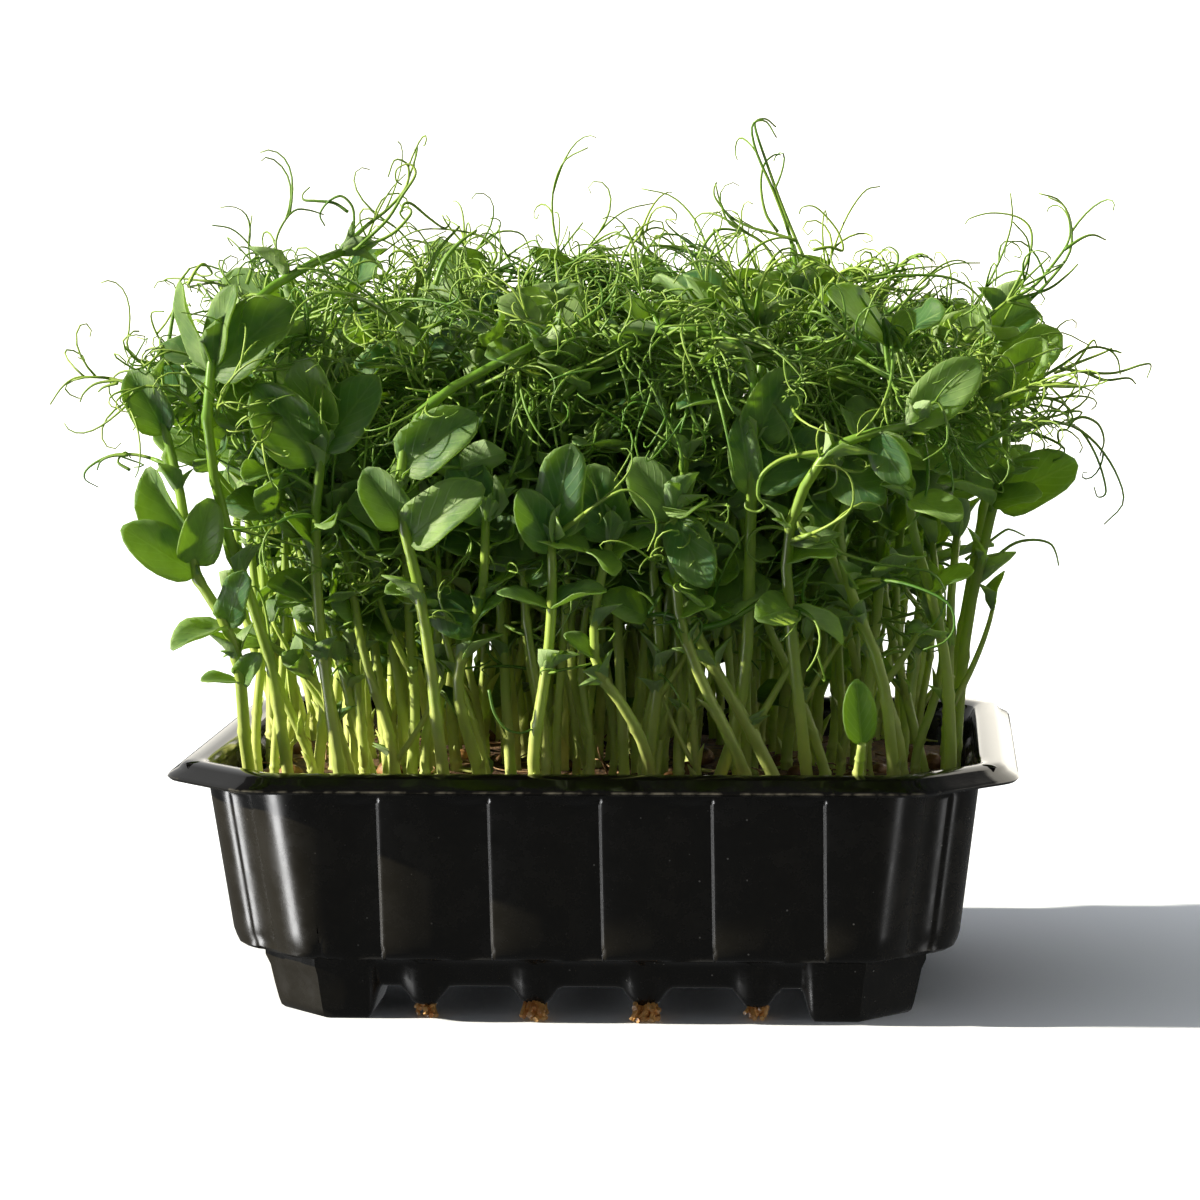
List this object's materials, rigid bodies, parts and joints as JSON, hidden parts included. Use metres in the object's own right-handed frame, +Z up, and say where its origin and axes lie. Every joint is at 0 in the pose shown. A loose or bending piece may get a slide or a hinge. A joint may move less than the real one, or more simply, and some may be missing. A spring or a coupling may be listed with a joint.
{
  "type": "pea shoot microgreens tray",
  "caption": "Dense pea shoots with oval leaves and curling tendrils growing from a fibre mat in a black, fluted, footed plastic punnet tray.",
  "frame": {"origin": "middle of the tray's footprint, on the plane that its four feet stand on", "axes": "+X along the tray's long side, to the right as seen from its front; +Y from the front to the back; +Z up"},
  "size_m": [0.2364, 0.1432, 0.1972],
  "materials": {
    "tray_plastic": "black, semi-gloss, formed sheet",
    "growing_mat": "rough brown fibre with roots and old seeds",
    "pea_green": "soft satin green, paler on stems and on the undersides of leaves"
  },
  "bodies": {
    "root": {"growing_mat": "growing_mat", "pea_shoot_01": "pea_green", "pea_shoot_02": "pea_green", "pea_shoot_03": "pea_green", "pea_shoot_04": "pea_green", "pea_shoot_05": "pea_green", "pea_shoot_06": "pea_green", "pea_shoot_07": "pea_green", "pea_shoot_08": "pea_green", "pea_shoot_09": "pea_green", "pea_shoot_10": "pea_green", "pea_shoot_11": "pea_green", "pea_shoot_12": "pea_green", "pea_shoot_13": "pea_green", "pea_shoot_14": "pea_green", "pea_shoot_15": "pea_green", "pea_shoot_16": "pea_green", "pea_shoot_17": "pea_green", "pea_shoot_18": "pea_green", "pea_shoot_19": "pea_green", "pea_shoot_20": "pea_green", "pea_shoot_21": "pea_green", "pea_shoot_22": "pea_green", "pea_shoot_23": "pea_green", "pea_shoot_24": "pea_green", "pea_shoot_25": "pea_green", "pea_shoot_26": "pea_green", "pea_shoot_27": "pea_green", "pea_shoot_28": "pea_green", "pea_shoot_29": "pea_green", "pea_shoot_30": "pea_green", "pea_shoot_31": "pea_green", "pea_shoot_32": "pea_green", "pea_shoot_33": "pea_green", "pea_shoot_34": "pea_green", "pea_shoot_35": "pea_green", "pea_shoot_36": "pea_green", "pea_shoot_37": "pea_green", "pea_shoot_38": "pea_green", "tray": "tray_plastic"}
  },
  "joints": []
}
